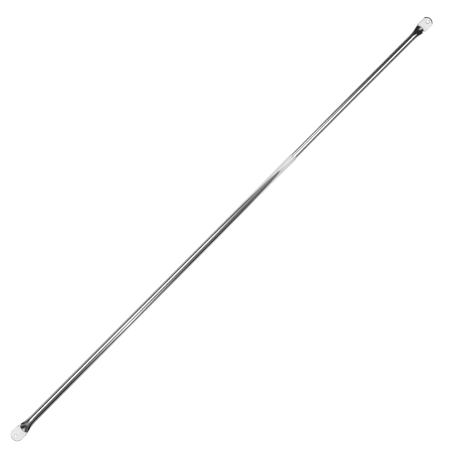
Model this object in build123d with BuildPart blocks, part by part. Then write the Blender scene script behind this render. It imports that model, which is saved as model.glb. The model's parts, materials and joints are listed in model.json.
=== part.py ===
from build123d import *
import math
import os

os.makedirs("parts", exist_ok=True)

# Telescopic chrome-plated rod. A thin tube slides and turns in a thicker one, and the far end of each
# tube is pressed flat into a round-ended tab with one screw hole. A bush guides the thin tube at the
# thick tube's mouth, and a split ring on the thin tube guides it inside.
# Millimetres. The origin is the centre of the outer tube's screw hole, halfway through the tab.
# +X runs along the rod towards the inner tube's tab, and +Z is square to both tabs.

# Driving dimensions: the two tubes, and how far the inner one stands out
outer_radius = 6.0
inner_radius = 5.0
wall = 0.6
outer_length = 580.0
inner_length = 540.0
inner_shown = 283.2

# Each tab: its width, its flat, the flare that joins it to the round tube, and the shape of its end.
# Each is slightly wider than half the tube's girth, because the press spreads the metal.
outer_tab_width = 19.0
outer_flat_length = 20.3
outer_flare_length = 24.0
outer_end_radius = 9.8
outer_corner_radius = 2.5
outer_hole_from_end = 6.5
inner_tab_width = 16.2
inner_flat_length = 19.8
inner_flare_length = 21.6
inner_end_radius = 8.95
inner_corner_radius = 0.8
inner_hole_from_end = 6.6
screw_hole_radius = 1.9

# The flare starts gently and closes quickly, and the two walls meet just before the flat
flare_steps = 6
seam_half_height = 0.12
seam_before_flat = 0.8

# The outer tube's mouth is belled to take the bush, whose lip covers the cut edge
bell_length = 14.0
bell_taper = 1.5
bell_rise = 0.25
lip_length = 1.8
lip_round = 0.6
running_fit = 0.05

# The split ring, and the groove rolled into the inner tube for it
ring_from_tail = 40.0
ring_width = 5.0
ring_end_play = 0.1
ring_slot = 1.0
groove_depth = 0.4
groove_slope = 0.6

# Worked out from the above
half_thickness = wall
outer_half_width = outer_tab_width / 2
inner_half_width = inner_tab_width / 2
outer_bore = outer_radius - wall
inner_bore = inner_radius - wall
outer_tip_x = -outer_hole_from_end
outer_flat_x = outer_tip_x + outer_flat_length
outer_round_x = outer_flat_x + outer_flare_length
mouth_x = outer_tip_x + outer_length
bell_x = mouth_x - bell_length
inner_tip_x = mouth_x + lip_length + inner_shown
inner_flat_x = inner_tip_x - inner_flat_length
inner_round_x = inner_flat_x - inner_flare_length
tail_x = inner_tip_x - inner_length
groove_x = tail_x + ring_from_tail
inner_hole_x = inner_tip_x - inner_hole_from_end


def across(x):
    """The plane square to the rod at x: its own x runs along +Y and its own y along +Z."""
    return Plane((x, 0, 0), x_dir=(0, 1, 0), z_dir=(1, 0, 0))


def pressed_section(x, radius, half_width, half_height, pressed):
    """Section of a tube at x: round where pressed is 0, flat with round edges where it is 1."""
    round_corner = radius * math.sin(math.radians(45))
    top = radius + (half_height - radius) * pressed
    side = radius + (half_width - radius) * pressed
    corner_y = round_corner + (half_width - half_height - round_corner) * pressed
    corner_z = round_corner + (half_height - round_corner) * pressed
    with BuildSketch(across(x)) as section:
        with BuildLine():
            if pressed < 1:
                ThreePointArc((-corner_y, corner_z), (0, top), (corner_y, corner_z))
                ThreePointArc((corner_y, -corner_z), (0, -top), (-corner_y, -corner_z))
            else:
                Line((-corner_y, corner_z), (corner_y, corner_z))
                Line((corner_y, -corner_z), (-corner_y, -corner_z))
            ThreePointArc((corner_y, corner_z), (side, 0), (corner_y, -corner_z))
            ThreePointArc((-corner_y, -corner_z), (-side, 0), (-corner_y, corner_z))
        make_face()
    return section.sketch


def flare(round_x, flat_x, radius, half_width, half_height):
    """The sections of a flare, from the round tube to the flat."""
    sections = []
    for step in range(flare_steps + 1):
        along = step / flare_steps
        x = round_x + (flat_x - round_x) * along
        sections.append(pressed_section(x, radius, half_width, half_height, along**2))
    return sections


def tab_plan(tip_x, flat_x, half_width, end_radius, corner_radius):
    """Plan of a tab: straight sides, closed at the tip by one broad arc with softened corners."""
    arc_rise = end_radius - math.sqrt(end_radius**2 - half_width**2)
    corner_x = tip_x + math.copysign(arc_rise, flat_x - tip_x)
    with BuildSketch() as plan:
        with BuildLine():
            Polyline(
                (corner_x, -half_width),
                (flat_x, -half_width),
                (flat_x, half_width),
                (corner_x, half_width),
            )
            ThreePointArc((corner_x, half_width), (tip_x, 0), (corner_x, -half_width))
        make_face()
        corners = plan.vertices().sort_by_distance((tip_x, 0, 0))[0:2]
        fillet(corners, corner_radius)
    return plan.sketch


# Outer tube: tab, flare, round tube with its belled mouth, then the bore
outer_tab_section = pressed_section(outer_flat_x, outer_radius, outer_half_width, half_thickness, 1)
outer_tab_plan = tab_plan(
    outer_tip_x, outer_flat_x, outer_half_width, outer_end_radius, outer_corner_radius
)
with BuildPart() as outer_tube:
    extrude(outer_tab_section, amount=-outer_flat_length)
    extrude(outer_tab_plan, amount=outer_radius, both=True, mode=Mode.INTERSECT)
    with Locations((0, 0, half_thickness)):
        Hole(radius=screw_hole_radius)
    loft(sections=flare(outer_round_x, outer_flat_x, outer_radius, outer_half_width, half_thickness))
    with BuildSketch(Plane.XZ):
        with BuildLine():
            Polyline(
                (outer_round_x, 0),
                (outer_round_x, outer_radius),
                (bell_x - bell_taper, outer_radius),
                (bell_x, outer_radius + bell_rise),
                (mouth_x, outer_radius + bell_rise),
                (mouth_x, 0),
                close=True,
            )
        make_face()
    revolve(axis=Axis.X)
    with BuildSketch(Plane.XZ):
        with BuildLine():
            Polyline(
                (outer_round_x, 0),
                (outer_round_x, outer_bore),
                (bell_x - bell_taper, outer_bore),
                (bell_x, outer_bore + bell_rise),
                (mouth_x, outer_bore + bell_rise),
                (mouth_x, 0),
                close=True,
            )
        make_face()
    revolve(axis=Axis.X, mode=Mode.SUBTRACT)
    outer_seam_x = outer_flat_x + seam_before_flat
    outer_seam_width = outer_half_width - wall
    loft(
        sections=flare(outer_round_x, outer_seam_x, outer_bore, outer_seam_width, seam_half_height),
        mode=Mode.SUBTRACT,
    )
outer_tube.part.label = "outer_tube"
export_step(outer_tube.part, "parts/outer_tube.step")

# Mouth bush: a thin sleeve in the bell, with a rounded lip over the tube's cut edge
bush_bore = inner_radius + running_fit
with BuildPart() as mouth_bush:
    with BuildSketch(Plane.XZ):
        with BuildLine():
            Polyline(
                (bell_x, bush_bore),
                (bell_x, outer_bore + bell_rise),
                (mouth_x, outer_bore + bell_rise),
                (mouth_x, outer_radius + bell_rise),
                (mouth_x + lip_length, outer_radius + bell_rise),
                (mouth_x + lip_length, bush_bore),
                close=True,
            )
        lip_face = make_face()
        lip_corner = lip_face.vertices().sort_by(Axis.X)[-2:].sort_by(Axis.Z)[-1]
        fillet(lip_corner, lip_round)
    revolve(axis=Axis.X)
mouth_bush.part.label = "mouth_bush"
export_step(mouth_bush.part, "parts/mouth_bush.step")

# Inner tube: the same in mirror image, with a groove rolled into its wall near the hidden end
inner_tab_section = pressed_section(inner_flat_x, inner_radius, inner_half_width, half_thickness, 1)
inner_tab_plan = tab_plan(
    inner_tip_x, inner_flat_x, inner_half_width, inner_end_radius, inner_corner_radius
)
with BuildPart() as inner_tube:
    extrude(inner_tab_section, amount=inner_flat_length)
    extrude(inner_tab_plan, amount=inner_radius, both=True, mode=Mode.INTERSECT)
    with Locations((inner_hole_x, 0, half_thickness)):
        Hole(radius=screw_hole_radius)
    loft(sections=flare(inner_round_x, inner_flat_x, inner_radius, inner_half_width, half_thickness))
    for radius, combine in ((inner_radius, Mode.ADD), (inner_bore, Mode.SUBTRACT)):
        with BuildSketch(Plane.XZ):
            with BuildLine():
                Polyline(
                    (tail_x, 0),
                    (tail_x, radius),
                    (groove_x - groove_slope, radius),
                    (groove_x, radius - groove_depth),
                    (groove_x + ring_width, radius - groove_depth),
                    (groove_x + ring_width + groove_slope, radius),
                    (inner_round_x, radius),
                    (inner_round_x, 0),
                    close=True,
                )
            make_face()
        revolve(axis=Axis.X, mode=combine)
    inner_seam_x = inner_flat_x - seam_before_flat
    inner_seam_width = inner_half_width - wall
    loft(
        sections=flare(inner_round_x, inner_seam_x, inner_bore, inner_seam_width, seam_half_height),
        mode=Mode.SUBTRACT,
    )
inner_tube.part.label = "inner_tube"
export_step(inner_tube.part, "parts/inner_tube.step")

# Guide ring: split at the bottom so that it snaps into the groove, and running in the outer tube's bore
ring_inner_radius = inner_radius - groove_depth + running_fit
ring_outer_radius = outer_bore - running_fit
with BuildPart() as guide_ring:
    with BuildSketch(across(groove_x + ring_end_play)):
        Circle(ring_outer_radius)
        Circle(ring_inner_radius, mode=Mode.SUBTRACT)
        with Locations((0, -ring_outer_radius)):
            Rectangle(ring_slot, ring_outer_radius, mode=Mode.SUBTRACT)
    extrude(amount=ring_width - 2 * ring_end_play)
guide_ring.part.label = "guide_ring"
export_step(guide_ring.part, "parts/guide_ring.step")

# The travel of the inner tube from this pose: in until its flare nears the lip, and out until the
# ring meets the bush
closed_gap = 2.0
travel_in = inner_round_x - closed_gap - (mouth_x + lip_length)
travel_out = bell_x - (groove_x + ring_width - ring_end_play)
overall = inner_tip_x - outer_tip_x
print(f"overall {overall:.1f} mm, travel in {travel_in:.1f} mm, travel out {travel_out:.1f} mm")
print(f"closed {overall - travel_in:.1f} mm, fully extended {overall + travel_out:.1f} mm")
print(f"inner tube's screw hole at x {inner_hole_x:.1f} mm")
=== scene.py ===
import json
import math

import bpy
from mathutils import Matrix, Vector

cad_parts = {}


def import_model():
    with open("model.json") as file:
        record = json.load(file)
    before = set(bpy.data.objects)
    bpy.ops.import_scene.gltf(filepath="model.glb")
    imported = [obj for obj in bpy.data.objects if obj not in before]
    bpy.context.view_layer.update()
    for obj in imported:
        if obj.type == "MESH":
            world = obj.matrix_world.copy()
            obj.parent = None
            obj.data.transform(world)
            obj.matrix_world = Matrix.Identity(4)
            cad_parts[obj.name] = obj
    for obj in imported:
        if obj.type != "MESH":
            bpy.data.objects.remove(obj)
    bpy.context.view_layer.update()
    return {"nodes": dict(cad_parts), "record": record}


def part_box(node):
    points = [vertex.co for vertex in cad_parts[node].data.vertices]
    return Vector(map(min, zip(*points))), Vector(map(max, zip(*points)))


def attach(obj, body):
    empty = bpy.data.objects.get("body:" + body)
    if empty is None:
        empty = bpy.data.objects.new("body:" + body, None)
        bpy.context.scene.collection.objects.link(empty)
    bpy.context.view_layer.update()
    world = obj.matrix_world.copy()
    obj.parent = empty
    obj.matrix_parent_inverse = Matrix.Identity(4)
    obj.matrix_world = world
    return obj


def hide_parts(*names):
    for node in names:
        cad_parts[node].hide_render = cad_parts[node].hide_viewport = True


# A telescopic chrome rod on a pale light table, seen square to its tabs. The tubes are pressed from
# round to flat at their far ends. Metres throughout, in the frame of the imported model: +X along the rod.

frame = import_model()
MM = 0.001

# ---------------------------------------------------------------- sizes

# What the frame says
outer_low, outer_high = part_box("outer_tube")
inner_low, inner_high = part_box("inner_tube")
bush_low, bush_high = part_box("mouth_bush")
mounts = {mount["name"]: mount for mount in frame["record"]["mounts"]}

# What it doesn't: walls, fits and the roundings of edges. The bell's taper is softer than the frame's.
WALL = 0.6 * MM
BELL_RISE = 0.25 * MM
BELL_LENGTH = 14 * MM
BELL_TAPER = 26 * MM
RUNNING_FIT = 0.05 * MM
FOLD_ROUND = 0.57 * MM
UNDER_ROLL = 0.25 * MM
SHARPEST_CORNER = 0.1 * MM
SHEAR_FADE = 2 * MM
CREASE_SOFTNESS = 0.45 * MM
FLAT_ENDS_BEFORE_CREASE = 1.3 * CREASE_SOFTNESS
SEAM_GAP = 0.05 * MM
CUT_BREAK = 0.12 * MM
LIP_ROUND = 0.6 * MM
LIP_BREAK = 0.05 * MM
LIP_LEAD = 0.25 * MM
GROOVE_FROM_TAIL = 40 * MM
GROOVE_WIDTH = 5 * MM
GROOVE_DEPTH = 0.4 * MM
GROOVE_SLOPE = 0.6 * MM

# How worn the metal is, 0 to 1: it is duller where it was pressed, sheared or cut
FLAT_WEAR = 0.1
FOLD_WEAR = 0.2
SHEARED_WEAR = 0.7
CREASE_WEAR = 0.25
CREASE_WEAR_REACH = 4 * MM
MOUTH_WEAR = 0.5
TAIL_WEAR = 0.3

# How finely everything is meshed
TOP_STEPS = 80
QUARTER_STEPS = 4
EDGE_POINTS = 2 * QUARTER_STEPS
SIDE_STEPS = 16
CORNER_STEPS = 6
TIP_STEPS = 28
FLARE_STEP = 0.3 * MM
TUBE_STEP = 12 * MM
BORE_STEP = 60 * MM
BELL_STEPS = 14
TAB_RINGS = (0.05, 0.3, 0.6, 0.9)
BUSH_AROUND = 128
LIP_STEPS = 8
LEAD_STEPS = 4
BOX_STEPS = 24


# ---------------------------------------------------------------- mesh helpers


class Maker:
    """Collects points and faces, with a wear value for each point, and turns them into an object."""

    def __init__(self):
        self.points = []
        self.faces = []
        self.wear = []

    def point(self, x, y, z, wear=0.0):
        self.points.append((x, y, z))
        self.wear.append(wear)
        return len(self.points) - 1

    def strip(self, first, second, closed=True):
        """Quads between two rows of points."""
        count = len(first)
        for i in range(count if closed else count - 1):
            j = (i + 1) % count
            self.faces.append((first[i], first[j], second[j], second[i]))

    def build(self, name, body, material, slot, replaced, sharp_deg=50):
        mesh = bpy.data.meshes.new(name)
        mesh.from_pydata(self.points, [], self.faces)
        mesh.validate()
        mesh.shade_smooth()
        mesh.set_sharp_from_angle(angle=math.radians(sharp_deg))
        worn = mesh.attributes.new("wear", "FLOAT", "POINT")
        worn.data.foreach_set("value", self.wear)
        mesh.materials.append(material)
        piece = bpy.data.objects.new(name, mesh)
        bpy.context.scene.collection.objects.link(piece)
        bpy.context.view_layer.objects.active = piece
        piece.select_set(True)
        bpy.ops.object.mode_set(mode="EDIT")
        bpy.ops.mesh.select_all(action="SELECT")
        bpy.ops.mesh.normals_make_consistent(inside=False)
        bpy.ops.object.mode_set(mode="OBJECT")
        piece.select_set(False)
        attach(piece, body)
        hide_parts(replaced)
        return piece


def rolled_corner(roll, depth, half_thickness):
    """(inset, z) from a plate's top face, over its rolled corner, to its edge."""
    corner = []
    for step in range(QUARTER_STEPS + 1):
        angle = math.pi / 2 * step / QUARTER_STEPS
        corner.append(
            (roll * (1 - math.sin(angle)), half_thickness - depth * (1 - math.cos(angle)))
        )
    return corner


def edge_profile(top_corner, bottom_corner=None):
    """(inset, z) from a plate's top face, over its edge, to its bottom face."""
    return top_corner + [(inset, -z) for inset, z in reversed(bottom_corner or top_corner)]


def smooth(t):
    t = min(1.0, max(0.0, t))
    return t * t * (3 - 2 * t)


# ---------------------------------------------------------------- the pressed tubes

# Distances are from the tip of each tab. Each crease bows towards the tip, and may run askew: its skew
# moves it away from the tip at the +Y side.
OUTER_SHAPE = {
    "flat": 20.3 * MM,
    "flare_end": 44.5 * MM,
    "crease_middle": 19.75 * MM,
    "crease_sides": 22.9 * MM,
    "crease_skew": 0.28 * MM,
    "end_radius": 9.8 * MM,
    "corner_round": 2.5 * MM,
    "tip_roll": 0.9 * MM,
    "tip_depth": 0.45 * MM,
    "hole_roll": 0.3 * MM,
    "rim_wear": 0.5,
}
INNER_SHAPE = {
    "flat": 19.8 * MM,
    "flare_end": 41.4 * MM,
    "crease_middle": 18.7 * MM,
    "crease_sides": 22.1 * MM,
    "crease_skew": 0.0,
    "end_radius": 8.95 * MM,
    "corner_round": 0.8 * MM,
    "tip_roll": 1.7 * MM,
    "tip_depth": 0.5 * MM,
    "hole_roll": 0.55 * MM,
    "rim_wear": 1.0,
}


class PressedTube:
    """A round tube pressed flat at one end."""

    def __init__(self, tip_x, inward, radius, half_width, hole_x, hole_radius, shape):
        self.tip_x = tip_x
        self.inward = inward
        self.radius = radius
        self.half_width = half_width
        self.hole_x = hole_x
        self.hole_radius = hole_radius
        self.shape = shape
        self.start = shape["crease_middle"] - FLAT_ENDS_BEFORE_CREASE
        self.maker = Maker()

    def x(self, distance):
        return self.tip_x + self.inward * distance

    def ring_samples(self, half_width, half_height, roll):
        """(y, z, angle) round the flat section from its top left corner. The angle is where the same
        metal stands on the round tube, from the top, positive towards +Y."""
        reach = half_width - roll
        edge = edge_profile(rolled_corner(roll, min(roll, half_height * 0.95), half_height))
        right = [(half_width - inset, z) for inset, z in edge[1:-1]]
        top = [-reach + 2 * reach * i / TOP_STEPS for i in range(TOP_STEPS + 1)]
        girth = 4 * reach + 2 * math.pi * half_height
        turn = [
            (reach + math.pi * half_height * (i + 1) / (EDGE_POINTS + 1)) * 2 * math.pi / girth
            for i in range(EDGE_POINTS)
        ]
        samples = [(y, half_height, 2 * math.pi * y / girth) for y in top]
        samples += [(y, z, angle) for (y, z), angle in zip(right, turn)]
        samples += [(y, -half_height, math.pi - 2 * math.pi * y / girth) for y in reversed(top)]
        samples += [(-y, z, -angle) for (y, z), angle in zip(reversed(right), reversed(turn))]
        return samples

    def crease(self, across):
        """Distance at which the flat ends, by the place across the tab, -1 to 1."""
        middle = self.shape["crease_middle"]
        bow = (self.shape["crease_sides"] - middle) * across**2
        return middle + bow + self.shape["crease_skew"] * across

    def narrowing(self, distance):
        """Share of the flat's width: 1 in the flat, 0 in the round tube."""
        start = self.shape["flat"]
        end = self.shape["flare_end"]
        left = min(1.0, max(0.0, (end - distance) / (end - start)))
        return left * left

    def flattening(self, distance, across):
        """Share of the flat's height: 1 up to the crease, 0 in the round tube."""
        crease = self.crease(across)
        past = distance - crease
        if past <= -CREASE_SOFTNESS:
            return 1.0
        if past < CREASE_SOFTNESS:
            past = (past + CREASE_SOFTNESS) ** 2 / (4 * CREASE_SOFTNESS)
        left = max(0.0, 1 - past / (self.shape["flare_end"] - crease))
        return left * left

    def section(self, distance, radius, half_width, half_height, roll):
        """(y, z) round the tube at a distance, in the order of ring_samples."""
        points = []
        narrow = self.narrowing(distance)
        for flat_y, flat_z, angle in self.ring_samples(half_width, half_height, roll):
            y = (1 - narrow) * radius * math.sin(angle) + narrow * flat_y
            share = self.flattening(distance, flat_y / half_width)
            points.append((y, (1 - share) * radius * math.cos(angle) + share * flat_z))
        return points

    def ring(self, distance, wear=0.0):
        """A ring of the outer skin in the flat or the flare."""
        half = self.half_width
        section = self.section(distance, self.radius, half, WALL, FOLD_ROUND)
        return [self.maker.point(self.x(distance), y, z, wear) for y, z in section]

    def corner_start(self, corner):
        """Distance at which a straight side gives way to a corner of a radius."""
        radius = self.shape["end_radius"]
        return radius - math.sqrt((radius - corner) ** 2 - (self.half_width - corner) ** 2)

    def outline_place(self, stretch, share, inset):
        """(distance, y) on the +Y half of the tab's outline, drawn in by an inset: a share of the way
        along its side, its corner or its tip."""
        half = self.half_width - inset
        radius = self.shape["end_radius"] - inset
        centre = self.shape["end_radius"]
        corner = max(self.shape["corner_round"] - inset, SHARPEST_CORNER)
        corner_y = half - corner
        corner_d = centre - math.sqrt((radius - corner) ** 2 - corner_y**2)
        if stretch == "side":
            return self.start + (corner_d - self.start) * share, half
        turn = math.atan2(corner_y, centre - corner_d)
        if stretch == "corner":
            angle = math.pi / 2 + (turn - math.pi / 2) * share
            return corner_d - corner * math.cos(angle), corner_y + corner * math.sin(angle)
        angle = turn * (1 - share)
        return centre - radius * math.cos(angle), radius * math.sin(angle)

    def tab_stations(self):
        """Stations round the tab from its +Y side, over the tip, to its -Y side: (stretch, share, side
        of the tab)."""
        half = []
        for stretch, steps in (("side", SIDE_STEPS), ("corner", CORNER_STEPS), ("tip", TIP_STEPS)):
            half += [(stretch, step / steps) for step in range(1, steps + 1)]
        there = [(stretch, share, 1) for stretch, share in half]
        return there + [(stretch, share, -1) for stretch, share in reversed(half[:-1])]

    def tab(self, ring):
        """The flat from the tip to a ring in it, with its screw hole."""
        maker = self.maker
        first_bottom = TOP_STEPS + 1 + EDGE_POINTS
        top = ring[: TOP_STEPS + 1]
        right = ring[TOP_STEPS + 1 : first_bottom]
        bottom = ring[first_bottom : first_bottom + TOP_STEPS + 1][::-1]
        left = ring[first_bottom + TOP_STEPS + 1 :][::-1]
        columns = [[top[-1], *right, bottom[-1]]]
        corner_d = self.corner_start(self.shape["corner_round"])
        for stretch, share, side in self.tab_stations():
            distance, _ = self.outline_place(stretch, share, 0.0)
            sheared = smooth(1 - (distance - corner_d) / SHEAR_FADE)
            roll = FOLD_ROUND + (self.shape["tip_roll"] - FOLD_ROUND) * sheared
            depth = FOLD_ROUND + (self.shape["tip_depth"] - FOLD_ROUND) * sheared
            under = FOLD_ROUND + (UNDER_ROLL - FOLD_ROUND) * sheared
            wear = FOLD_WEAR + (SHEARED_WEAR - FOLD_WEAR) * sheared
            column = []
            corners = rolled_corner(roll, depth, WALL), rolled_corner(under, under, WALL)
            for inset, z in edge_profile(*corners):
                d, y = self.outline_place(stretch, share, inset)
                column.append(maker.point(self.x(d), side * y, z, wear))
            columns.append(column)
        columns.append([top[0], *left, bottom[0]])
        for one, other in zip(columns, columns[1:]):
            maker.strip(one, other, closed=False)
        # chains from the outline's top, in to the hole, through it, and out to the outline's bottom
        outline_top = top + [column[0] for column in columns[1:-1]]
        outline_bottom = bottom + [column[-1] for column in columns[1:-1]]
        roll = self.shape["hole_roll"]
        rim = edge_profile(rolled_corner(roll, roll, WALL))
        wear = self.shape["rim_wear"]
        chains = []
        for above, below in zip(outline_top, outline_bottom):
            px, py, _ = maker.points[above]
            away = Vector((px - self.hole_x, py))
            reach = away.length
            away.normalize()
            lip = self.hole_radius + roll
            spread = [reach + (lip - reach) * share for share in TAB_RINGS]
            chain = [above]
            for r in spread:
                chain.append(maker.point(self.hole_x + away.x * r, away.y * r, WALL))
            for inset, z in rim:
                r = self.hole_radius + inset
                chain.append(maker.point(self.hole_x + away.x * r, away.y * r, z, wear))
            for r in reversed(spread):
                chain.append(maker.point(self.hole_x + away.x * r, away.y * r, -WALL))
            chain.append(below)
            chains.append(chain)
        for i, chain in enumerate(chains):
            maker.strip(chain, chains[(i + 1) % len(chains)], closed=False)

    def skin(self):
        """The tab and the flare. Returns the last ring, where the tube is round."""
        ring = self.ring(self.start, FLAT_WEAR)
        self.tab(ring)
        end = self.shape["flare_end"]
        steps = math.ceil((end - self.start) / FLARE_STEP)
        for step in range(1, steps + 1):
            distance = self.start + (end - self.start) * step / steps
            past = (distance - self.shape["crease_sides"]) / CREASE_WEAR_REACH
            following = self.ring(distance, CREASE_WEAR * math.exp(-(past**2)))
            self.maker.strip(ring, following)
            ring = following
        return ring

    def bore(self, ring):
        """The inside of the flare, from a ring of the bore down to where the two walls meet."""
        bore_width = self.half_width - WALL
        start = self.shape["flare_end"]
        end = self.shape["crease_sides"] + CREASE_SOFTNESS
        steps = math.ceil((start - end) / (3 * FLARE_STEP))
        for step in range(steps + 1):
            distance = start + (end - start) * step / steps
            section = self.section(distance, self.radius - WALL, bore_width, SEAM_GAP, SEAM_GAP)
            following = [self.maker.point(self.x(distance), y, z) for y, z in section]
            self.maker.strip(ring, following)
            ring = following
        first_bottom = TOP_STEPS + 1 + EDGE_POINTS
        top = ring[: TOP_STEPS + 1]
        bottom = ring[first_bottom : first_bottom + TOP_STEPS + 1][::-1]
        self.maker.strip(top, bottom, closed=False)
        self.maker.faces.append(tuple(ring[TOP_STEPS : first_bottom + 1]))
        self.maker.faces.append(tuple(ring[first_bottom + TOP_STEPS :] + [ring[0]]))

    def round_ring(self, distance, radius, wear=0.0):
        """A ring of the round tube."""
        points = []
        for _, _, angle in self.ring_samples(self.half_width, WALL, FOLD_ROUND):
            y, z = radius * math.sin(angle), radius * math.cos(angle)
            points.append(self.maker.point(self.x(distance), y, z, wear))
        return points

    def run(self, ring, stations):
        """Round rings through (distance, radius, wear) stations, from a ring. Returns the last."""
        for distance, radius, wear in stations:
            following = self.round_ring(distance, radius, wear)
            self.maker.strip(ring, following)
            ring = following
        return ring


def even_steps(start, end, radius, step=TUBE_STEP):
    """Stations along a plain stretch of tube, without its start."""
    count = max(1, math.ceil(abs(end - start) / step))
    return [(start + (end - start) * i / count, radius, 0.0) for i in range(1, count + 1)]


def outer_tube(material):
    """The thick tube. Its mouth is belled for the bush."""
    hole = mounts["outer_screw_hole"]
    radius = outer_high.z - BELL_RISE
    tube = PressedTube(
        outer_low.x, 1, radius, outer_high.y, hole["pos_m"][0], hole["dims"]["r_mm"] * MM, OUTER_SHAPE
    )
    mouth = outer_high.x - outer_low.x
    bell = mouth - BELL_LENGTH
    flare_end = OUTER_SHAPE["flare_end"]
    ring = tube.skin()
    ring = tube.run(ring, even_steps(flare_end, bell - BELL_TAPER / 2, radius))
    belled = radius + BELL_RISE
    for step in range(1, BELL_STEPS + 1):
        share = step / BELL_STEPS
        distance = bell + BELL_TAPER * (share - 0.5)
        ring = tube.run(ring, [(distance, radius + BELL_RISE * smooth(share), 0.0)])
    cut = CUT_BREAK
    bevel = 0.3 * cut
    ring = tube.run(ring, [(mouth - 2 * cut, belled, 0.0), (mouth - cut, belled, 0.0)])
    ring = tube.run(ring, [(mouth - bevel, belled - bevel, MOUTH_WEAR)])
    ring = tube.run(ring, [(mouth, belled - cut, MOUTH_WEAR), (mouth, belled - WALL, MOUTH_WEAR)])
    ring = tube.run(ring, [(bell, belled - WALL, 0.0)])
    ring = tube.run(ring, [(bell - BELL_TAPER / 2, radius - WALL, 0.0)])
    back_end = flare_end + TUBE_STEP
    ring = tube.run(ring, even_steps(bell - BELL_TAPER / 2, back_end, radius - WALL, BORE_STEP))
    tube.bore(ring)
    return tube.maker.build("outer_tube_skin", "outer_section", material, "chrome_plate", "outer_tube")


def inner_tube(material):
    """The thin tube, with the groove rolled into it near its hidden end."""
    hole = mounts["inner_screw_hole"]
    radius = inner_high.z
    tube = PressedTube(
        inner_high.x, -1, radius, inner_high.y, hole["pos_m"][0], hole["dims"]["r_mm"] * MM, INNER_SHAPE
    )
    tail = inner_high.x - inner_low.x
    groove_end = tail - GROOVE_FROM_TAIL
    groove_start = groove_end - GROOVE_WIDTH
    flare_end = INNER_SHAPE["flare_end"]
    bore = radius - WALL

    def grooved(wall_radius):
        return [
            (groove_start, wall_radius - GROOVE_DEPTH, 0.0),
            (groove_end, wall_radius - GROOVE_DEPTH, 0.0),
            (groove_end + GROOVE_SLOPE, wall_radius, 0.0),
        ]

    ring = tube.skin()
    ring = tube.run(ring, even_steps(flare_end, groove_start - GROOVE_SLOPE, radius))
    ring = tube.run(ring, grooved(radius))
    ring = tube.run(ring, [(tail, radius, TAIL_WEAR), (tail, bore, TAIL_WEAR)])
    ring = tube.run(ring, grooved(bore)[::-1])
    ring = tube.run(ring, [(groove_start - GROOVE_SLOPE, bore, 0.0)])
    back_end = flare_end + TUBE_STEP
    ring = tube.run(ring, even_steps(groove_start - GROOVE_SLOPE, back_end, bore, BORE_STEP))
    tube.bore(ring)
    return tube.maker.build("inner_tube_skin", "inner_section", material, "chrome_plate", "inner_tube")


def mouth_bush(material):
    """The bush: a sleeve inside the bell and a rounded lip over the tube's cut edge."""
    lip_x = bush_high.x
    lip_radius = bush_high.z
    mouth = outer_high.x
    bore_radius = inner_high.z + RUNNING_FIT
    sleeve_radius = lip_radius - WALL
    profile = [(bush_low.x, bore_radius), (bush_low.x, sleeve_radius), (mouth, sleeve_radius)]
    profile.append((mouth, lip_radius - LIP_BREAK))
    profile.append((mouth + LIP_BREAK, lip_radius))
    for step in range(LIP_STEPS + 1):
        angle = math.pi / 2 * step / LIP_STEPS
        x = lip_x - LIP_ROUND * (1 - math.sin(angle))
        profile.append((x, lip_radius - LIP_ROUND * (1 - math.cos(angle))))
    for step in range(LEAD_STEPS + 1):
        angle = math.pi / 2 * step / LEAD_STEPS
        x = lip_x - LIP_LEAD * (1 - math.cos(angle))
        profile.append((x, bore_radius + LIP_LEAD * (1 - math.sin(angle))))
    maker = Maker()
    turns = [2 * math.pi * step / BUSH_AROUND for step in range(BUSH_AROUND)]
    rings = []
    for x, r in profile:
        rings.append([maker.point(x, r * math.sin(turn), r * math.cos(turn)) for turn in turns])
    for first, second in zip(rings, rings[1:] + rings[:1]):
        maker.strip(first, second)
    return maker.build(
        "mouth_bush_moulding", "outer_section", material, "bush_plastic", "mouth_bush", 40
    )


# ---------------------------------------------------------------- materials


def new_material(name):
    material = bpy.data.materials.new(name)
    material.use_nodes = True
    tree = material.node_tree
    return material, tree, tree.nodes["Principled BSDF"]


def add(tree, kind, **settings):
    node = tree.nodes.new(kind)
    for key, value in settings.items():
        if key in node.inputs:
            node.inputs[key].default_value = value
        else:
            setattr(node, key, value)
    return node


def noise(tree, scale, stretch, detail=4.0, roughness=0.5):
    """Noise in the object's own space, stretched by a factor on each axis. Returns its Factor."""
    place = add(tree, "ShaderNodeTexCoord")
    mapping = add(tree, "ShaderNodeMapping")
    mapping.inputs["Scale"].default_value = stretch
    tree.links.new(place.outputs["Object"], mapping.inputs["Vector"])
    texture = add(tree, "ShaderNodeTexNoise")
    texture.inputs["Scale"].default_value = scale
    texture.inputs["Detail"].default_value = detail
    texture.inputs["Roughness"].default_value = roughness
    tree.links.new(mapping.outputs["Vector"], texture.inputs["Vector"])
    return texture.outputs["Fac"]


def remap(tree, value, low, high, to_low, to_high):
    node = add(tree, "ShaderNodeMapRange")
    node.inputs["From Min"].default_value = low
    node.inputs["From Max"].default_value = high
    node.inputs["To Min"].default_value = to_low
    node.inputs["To Max"].default_value = to_high
    tree.links.new(value, node.inputs["Value"])
    return node.outputs["Result"]


def math_node(tree, operation, first, second):
    node = add(tree, "ShaderNodeMath", operation=operation)
    for socket, value in zip(node.inputs, (first, second)):
        if isinstance(value, (int, float)):
            socket.default_value = value
        else:
            tree.links.new(value, socket)
    return node.outputs[0]


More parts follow.
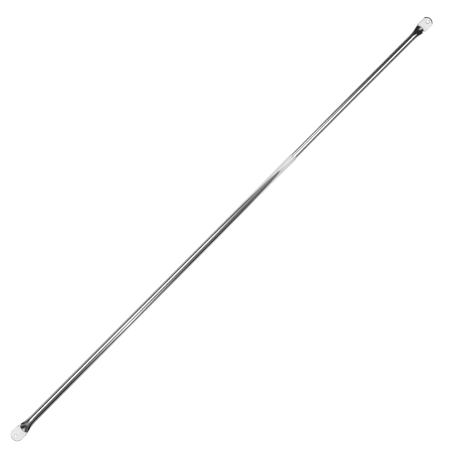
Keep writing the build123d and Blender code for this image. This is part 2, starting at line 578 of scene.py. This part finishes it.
def chrome_material():
    """Bright chrome on drawn tube: mirror-like, with fine lines along the length, faint smudges,
    and a duller edge where the metal was sheared or punched."""
    material, tree, shader = new_material("bright_chrome")
    shader.inputs["Metallic"].default_value = 1.0
    lines = noise(tree, 1.0, (14, 2600, 2600), 3.0)
    smudges = noise(tree, 90.0, (0.35, 1, 1), 5.0, 0.6)
    ripple = noise(tree, 60.0, (0.25, 1, 1), 1.0)
    worn = add(tree, "ShaderNodeAttribute", attribute_name="wear").outputs["Fac"]
    # roughness: polished, duller in streaks, smudges and on worn edges
    streaks = remap(tree, lines, 0.45, 0.75, 0.0, 0.05)
    film = remap(tree, smudges, 0.5, 0.8, 0.0, 0.05)
    dull = math_node(tree, "MULTIPLY", worn, 0.12)
    total = math_node(tree, "ADD", math_node(tree, "ADD", streaks, film), dull)
    tree.links.new(math_node(tree, "ADD", total, 0.04), shader.inputs["Roughness"])
    # colour: neutral silver, a little darker in the film and on the worn edges
    ramp = add(tree, "ShaderNodeValToRGB")
    ramp.color_ramp.elements[0].position = 0.35
    ramp.color_ramp.elements[0].color = (0.85, 0.85, 0.85, 1)
    ramp.color_ramp.elements[1].position = 0.8
    ramp.color_ramp.elements[1].color = (0.79, 0.79, 0.79, 1)
    tree.links.new(smudges, ramp.inputs["Fac"])
    tint = add(tree, "ShaderNodeMix", data_type="RGBA")
    tint.inputs["B"].default_value = (0.42, 0.42, 0.42, 1)
    tree.links.new(math_node(tree, "MULTIPLY", worn, 0.6), tint.inputs["Factor"])
    tree.links.new(ramp.outputs["Color"], tint.inputs["A"])
    tree.links.new(tint.outputs["Result"], shader.inputs["Base Color"])
    # relief: drawing lines and a slow ripple
    fine = add(tree, "ShaderNodeBump", Strength=0.05, Distance=0.00001)
    tree.links.new(lines, fine.inputs["Height"])
    slow = add(tree, "ShaderNodeBump", Strength=0.2, Distance=0.00006)
    tree.links.new(ripple, slow.inputs["Height"])
    tree.links.new(fine.outputs["Normal"], slow.inputs["Normal"])
    tree.links.new(slow.outputs["Normal"], shader.inputs["Normal"])
    return material


def plastic_material(name, pale, shaded):
    """Natural moulded plastic: satin, faintly mottled."""
    material, tree, shader = new_material(name)
    mottle = noise(tree, 500.0, (1, 1, 1), 4.0)
    ramp = add(tree, "ShaderNodeValToRGB")
    ramp.color_ramp.elements[0].position = 0.3
    ramp.color_ramp.elements[0].color = (*pale, 1)
    ramp.color_ramp.elements[1].position = 0.75
    ramp.color_ramp.elements[1].color = (*shaded, 1)
    tree.links.new(mottle, ramp.inputs["Fac"])
    tree.links.new(ramp.outputs["Color"], shader.inputs["Base Color"])
    tree.links.new(remap(tree, mottle, 0.3, 0.7, 0.28, 0.42), shader.inputs["Roughness"])
    shader.inputs["Subsurface Weight"].default_value = 0.25
    shader.inputs["Subsurface Radius"].default_value = (0.002, 0.002, 0.002)
    skin = add(tree, "ShaderNodeBump", Strength=0.15, Distance=0.00002)
    tree.links.new(mottle, skin.inputs["Height"])
    tree.links.new(skin.outputs["Normal"], shader.inputs["Normal"])
    return material


# ---------------------------------------------------------------- the object

chrome = chrome_material()
outer_skin = outer_tube(chrome)
inner_skin = inner_tube(chrome)
bush = mouth_bush(plastic_material("natural_bush_plastic", (0.84, 0.85, 0.84), (0.76, 0.77, 0.76)))
ring_node = frame["nodes"]["guide_ring"]
ring_node.data.materials.clear()
ring_node.data.materials.append(
    plastic_material("natural_ring_nylon", (0.85, 0.84, 0.79), (0.78, 0.76, 0.70))
)

# ---------------------------------------------------------------- camera

# The view is square to the tabs, and the rod climbs from lower left to upper right.
ROD_ANGLE_DEG = 45.18
PICTURE_WIDTH = 0.6559
CAMERA_X = 0.4335
CAMERA_Y = 0.00074
LENS_MM = 300.0
SENSOR_MM = 36.0
camera_height = PICTURE_WIDTH * LENS_MM / SENSOR_MM
camera_data = bpy.data.cameras.new("camera")
camera_data.lens = LENS_MM
camera_data.sensor_width = SENSOR_MM
camera_data.clip_end = 200
camera = bpy.data.objects.new("camera", camera_data)
camera.location = (CAMERA_X, CAMERA_Y, camera_height)
camera.rotation_euler = (0, 0, math.radians(-ROD_ANGLE_DEG))
bpy.context.scene.collection.objects.link(camera)
bpy.context.scene.camera = camera

# ---------------------------------------------------------------- table and light

FLOOR_SIZE = 60.0
FLOOR_GLOW = 0.95
FLOOR_PAINT = 0.5
ARCH_RADIUS = 0.35
LAYER = 0.01
ROOM = 0.027
KEY_SIZE = 3.0
KEY_HEIGHT = 2.0
KEY_POWER = 55.0
BOARD_LIFT = 0.2 * MM
BOARD_START = 1 * MM


def floor():
    """A pale light table: it glows evenly, and its white top takes soft light and shadow."""
    half = FLOOR_SIZE / 2
    z = outer_low.z
    mesh = bpy.data.meshes.new("light_table")
    corners = [(-half, -half, z), (half, -half, z), (half, half, z), (-half, half, z)]
    mesh.from_pydata(corners, [], [(0, 1, 2, 3)])
    table = bpy.data.objects.new("light_table", mesh)
    bpy.context.scene.collection.objects.link(table)
    material, tree, shader = new_material("light_table_top")
    shader.inputs["Base Color"].default_value = (FLOOR_PAINT, FLOOR_PAINT, FLOOR_PAINT, 1)
    shader.inputs["Roughness"].default_value = 0.9
    shader.inputs["Specular IOR Level"].default_value = 0.0
    shader.inputs["Emission Color"].default_value = (1, 1, 1, 1)
    shader.inputs["Emission Strength"].default_value = FLOOR_GLOW
    mesh.materials.append(material)


def glow_material():
    """Emission by the glow value of each point."""
    material = bpy.data.materials.new("softbox_glow")
    material.use_nodes = True
    tree = material.node_tree
    tree.nodes.clear()
    level = add(tree, "ShaderNodeAttribute", attribute_name="glow").outputs["Fac"]
    light = add(tree, "ShaderNodeEmission")
    out = add(tree, "ShaderNodeOutputMaterial")
    tree.links.new(level, light.inputs["Strength"])
    tree.links.new(light.outputs["Emission"], out.inputs["Surface"])
    return material


def glowing_sheet(name, rows, glows, material):
    """A sheet through rows of points, with a glow for each point. Only mirrors see it."""
    width = len(rows[0])
    faces = []
    for row in range(len(rows) - 1):
        for step in range(width - 1):
            corner = row * width + step
            faces.append((corner, corner + 1, corner + width + 1, corner + width))
    mesh = bpy.data.meshes.new(name)
    mesh.from_pydata([point for row in rows for point in row], [], faces)
    values = mesh.attributes.new("glow", "FLOAT", "POINT")
    values.data.foreach_set("value", [glow for row in glows for glow in row])
    mesh.materials.append(material)
    sheet = bpy.data.objects.new(name, mesh)
    bpy.context.scene.collection.objects.link(sheet)
    sheet.visible_camera = False
    sheet.visible_diffuse = False
    sheet.visible_shadow = False


def softbox(name, layer, stations, material):
    """A softbox bent round the rod. Each station is (x, from, to, glow, end glow): where along the
    rod it shows, its spread in degrees from overhead, positive towards -Y, and its brightness at the
    two sides. The camera's rays spread, so it stands further out than x. A higher layer hangs nearer."""
    radius = ARCH_RADIUS - LAYER * layer
    spread = 1 + radius / camera_height
    rows = []
    glows = []
    for x, start, end, glow, end_glow in stations:
        reach = CAMERA_X + (x - CAMERA_X) * spread
        row = []
        for step in range(BOX_STEPS + 1):
            angle = math.radians(start + (end - start) * step / BOX_STEPS)
            row.append((reach, -radius * math.sin(angle), radius * math.cos(angle)))
        rows.append(row)
        levels = [glow + (end_glow - glow) * step / BOX_STEPS for step in range(BOX_STEPS + 1)]
        glows.append(levels)
    glowing_sheet(name, rows, glows, material)


def curved_lamp(name, path, material):
    """A lamp along a curved path on the arch. Each place is (x, angle, half width along the rod, half
    width in degrees, glow)."""
    radius = ARCH_RADIUS - LAYER
    rows = []
    glows = []
    for x, turn, reach, swing, level in path:
        row = []
        for across in (-1, 0, 1):
            angle = math.radians(turn + swing * across)
            row.append((x - reach * across, -radius * math.sin(angle), radius * math.cos(angle)))
        rows.append(row)
        glows.append([level, level, level])
    glowing_sheet(name, rows, glows, material)


def table_board(name, side, stations, material):
    """A board on the table beside the rod, so that the tube's flanks mirror less than full white.
    Each station is (x, glow)."""
    z = outer_low.z + BOARD_LIFT
    rows = [[(x, side * BOARD_START, z), (x, side * ARCH_RADIUS, z)] for x, _ in stations]
    glowing_sheet(name, rows, [[glow, glow] for _, glow in stations], material)


def world():
    """White to the eye, dim in mirrors, so that the chrome shows the softboxes against a dark room."""
    made = bpy.data.worlds.new("studio")
    made.use_nodes = True
    tree = made.node_tree
    tree.nodes.clear()
    seen = add(tree, "ShaderNodeBackground", Color=(1, 1, 1, 1), Strength=1.0)
    mirrored = add(tree, "ShaderNodeBackground", Color=(1, 1, 1, 1), Strength=ROOM)
    path = add(tree, "ShaderNodeLightPath")
    mix = add(tree, "ShaderNodeMixShader")
    out = add(tree, "ShaderNodeOutputWorld")
    tree.links.new(path.outputs["Is Camera Ray"], mix.inputs["Fac"])
    tree.links.new(mirrored.outputs["Background"], mix.inputs[1])
    tree.links.new(seen.outputs["Background"], mix.inputs[2])
    tree.links.new(mix.outputs["Shader"], out.inputs["Surface"])
    bpy.context.scene.world = made


def key_light():
    """A large soft light overhead. It lights and shades the table and the plastic."""
    data = bpy.data.lights.new("overhead", "AREA")
    data.shape = "SQUARE"
    data.size = KEY_SIZE
    data.energy = KEY_POWER
    light = bpy.data.objects.new("overhead", data)
    light.location = (CAMERA_X, 0, KEY_HEIGHT)
    light.visible_glossy = False
    bpy.context.scene.collection.objects.link(light)


floor()
world()
key_light()
glow = glow_material()

tab_out = outer_low.x
tab_in = inner_high.x
joint = bush_high.x

# Over the thick tube: a long narrow softbox, a thin dim one with a bright spot, and dim side walls
softbox(
    "strip_outer", 1,
    [
        (-0.072, -20, -4, 1.75, 1.75), (-0.030, -30, -8, 1.75, 1.75), (0.0, -37, -12.5, 1.75, 1.75),
        (0.409, -37, -12.5, 1.7, 1.7), (0.438, -37, -11, 0.9, 0.9),
        (0.467, -36, -10, 0.48, 0.48), (0.489, -31, 0, 0.38, 0.38), (0.550, -20, 6, 0.32, 0.32),
    ],
    glow,
)
softbox(
    "line_outer", 1,
    [
        (-0.072, 29, 45, 0.15, 0.15), (0.110, 29, 45, 0.17, 0.17), (0.140, 29, 45, 0.35, 0.35),
        (0.175, 28, 46, 0.78, 0.78), (0.234, 26, 52, 1.7, 1.7), (0.292, 29, 47, 1.05, 1.05),
        (0.335, 29, 45, 0.42, 0.42), (0.365, 29, 45, 0.27, 0.27), (0.489, 29, 45, 0.17, 0.17),
        (0.550, 20, 30, 0.12, 0.12),
    ],
    glow,
)
softbox(
    "wash_outer", 0,
    [
        (-0.072, -74, 84, 0.03, 0.0), (0.140, -74, 84, 0.05, 0.0), (0.234, -74, 84, 0.08, 0.05),
        (0.335, -74, 84, 0.07, 0.0), (0.430, -74, 84, 0.07, 0.0), (0.489, -70, 80, 0.16, 0.08),
        (0.550, -70, 80, 0.17, 0.09),
    ],
    glow,
)
softbox(
    "fill_outer", 0.5,
    [
        (-0.072, -12, 29, 0.10, 0.08), (0.175, -12, 29, 0.16, 0.14), (0.234, -12, 29, 0.30, 0.25),
        (0.292, -11, 29, 0.16, 0.14), (0.550, -11, 29, 0.15, 0.10),
    ],
    glow,
)
softbox("wall_outer_left", 0, [(-0.072, -98, -74, 0.35, 0.2), (0.550, -98, -74, 0.5, 0.3)], glow)
softbox("wall_outer_right", 0, [(-0.072, 84, 98, 0.03, 0.3), (0.550, 84, 98, 0.08, 0.6)], glow)

# Over the mouth: two white sheets that close to a point
softbox(
    "canopy_left", 3,
    [
        (0.443, -98, -90, 0.7, 0.7), (0.467, -98, -83, 0.7, 0.75), (0.489, -98, -67, 0.7, 0.78),
        (0.503, -98, -54, 0.72, 0.8), (0.518, -98, -46, 0.72, 0.84), (0.5324, -98, -31, 0.72, 0.92),
        (0.5426, -98, -23, 0.72, 1.0), (0.5462, -98, 4, 0.72, 1.0), (joint, -98, 4, 0.72, 1.0),
    ],
    glow,
)
softbox(
    "canopy_right", 2,
    [
        (0.443, 96, 98, 0.8, 0.8), (0.467, 90, 98, 0.8, 0.8), (0.489, 79, 98, 0.85, 0.8),
        (0.503, 71, 98, 0.82, 0.8), (0.518, 62, 98, 0.82, 0.75), (0.5324, 48, 98, 0.82, 0.7),
        (0.5426, 34, 98, 0.84, 0.66), (0.5462, 4, 98, 0.86, 0.64), (joint, 4, 98, 0.86, 0.64),
    ],
    glow,
)

# Over the thin tube: a long softbox, and a second one that fades away from the joint
softbox(
    "strip_inner", 1,
    [
        (joint, -2, 26, 2.3, 2.3), (joint + 0.02, -2, 26, 1.8, 1.8), (0.700, -1, 26, 1.8, 1.8),
        (0.820, 4, 31, 1.8, 1.8), (0.870, 6, 32, 1.75, 1.75), (0.900, 14, 32, 1.7, 1.7),
        (0.935, 18, 30, 1.6, 1.6),
    ],
    glow,
)
softbox(
    "second_inner", 1,
    [
        (joint, -64, -37, 1.45, 1.45), (0.620, -64, -37, 1.45, 1.45), (0.649, -64, -37, 0.95, 0.95),
        (0.671, -64, -37, 0.62, 0.65), (0.700, -64, -37, 0.26, 0.3), (0.729, -64, -37, 0.08, 0.14),
        (0.758, -64, -37, 0.03, 0.07), (0.850, -64, -37, 0.02, 0.03),
    ],
    glow,
)
softbox(
    "fill_inner", 0.5,
    [
        (joint, -37, -2, 0.2, 0.24), (0.620, -37, -2, 0.2, 0.24), (0.680, -37, -1, 0.24, 0.28),
        (0.730, -37, 0, 0.16, 0.24), (0.780, -37, 1, 0.08, 0.14), (0.860, -37, 5, 0.02, 0.05),
    ],
    glow,
)
softbox("wash_inner", 0, [(joint, 26, 90, 0.05, 0.2), (0.860, 26, 90, 0.02, 0.02)], glow)

# Beside the tubes, on the table
table_board(
    "board_left", 1,
    [
        (-0.200, 0.45), (0.060, 0.5), (0.200, 0.6), (0.400, 0.7), (0.490, 0.85), (joint, 0.85),
        (joint + MM, 0.34), (0.620, 0.34), (0.660, 0.2), (0.700, 0.2), (0.820, 0.28), (1.0, 0.26),
    ],
    glow,
)
table_board(
    "board_right", -1,
    [
        (-0.200, 0.45), (0.060, 0.5), (0.200, 0.62), (0.400, 0.8), (0.490, 0.95), (joint, 0.9),
        (joint + MM, 0.7), (0.620, 0.8), (0.700, 0.75), (0.760, 0.6), (0.820, 0.4), (1.0, 0.3),
    ],
    glow,
)

# Over the tabs, with a grey card beyond the outer one
softbox("card_outer_tab", 4, [(tab_out - 0.03, -8, 6, 0.98, 0.98), (0.0172, -8, 6, 0.98, 0.98)], glow)
softbox("card_inner_tab", 4, [(0.8364, -6, 8, 0.98, 0.98), (tab_in + 0.03, -6, 8, 0.98, 0.98)], glow)
softbox("grey_outer", 0, [(-0.180, -50, 18, 0.16, 0.30), (-0.072, -50, 18, 0.28, 0.50)], glow)
softbox("line_outer_end", 0, [(-0.180, 28, 50, 0.12, 0.12), (-0.072, 28, 50, 0.15, 0.15)], glow)

# Beyond each end, a small bent lamp that the steep start of the flare mirrors
curved_lamp(
    "lamp_outer_flare",
    [
        (-0.387, -4, 0.012, 5, 1.0), (-0.340, 8, 0.012, 5, 0.8), (-0.296, 15, 0.012, 5, 0.55),
        (-0.275, 16, 0.011, 5, 0.55), (-0.272, 7, 0.010, 5, 0.55), (-0.270, 0, 0.009, 5, 0.5),
    ],
    glow,
)
curved_lamp(
    "lamp_inner_flare",
    [
        (1.195, 5, 0.020, 10, 0.9), (1.150, 3, 0.018, 9, 0.75), (1.117, -6, 0.014, 6, 0.6),
        (1.080, -16, 0.010, 3, 0.5),
    ],
    glow,
)

bpy.context.scene.view_settings.view_transform = "Standard"
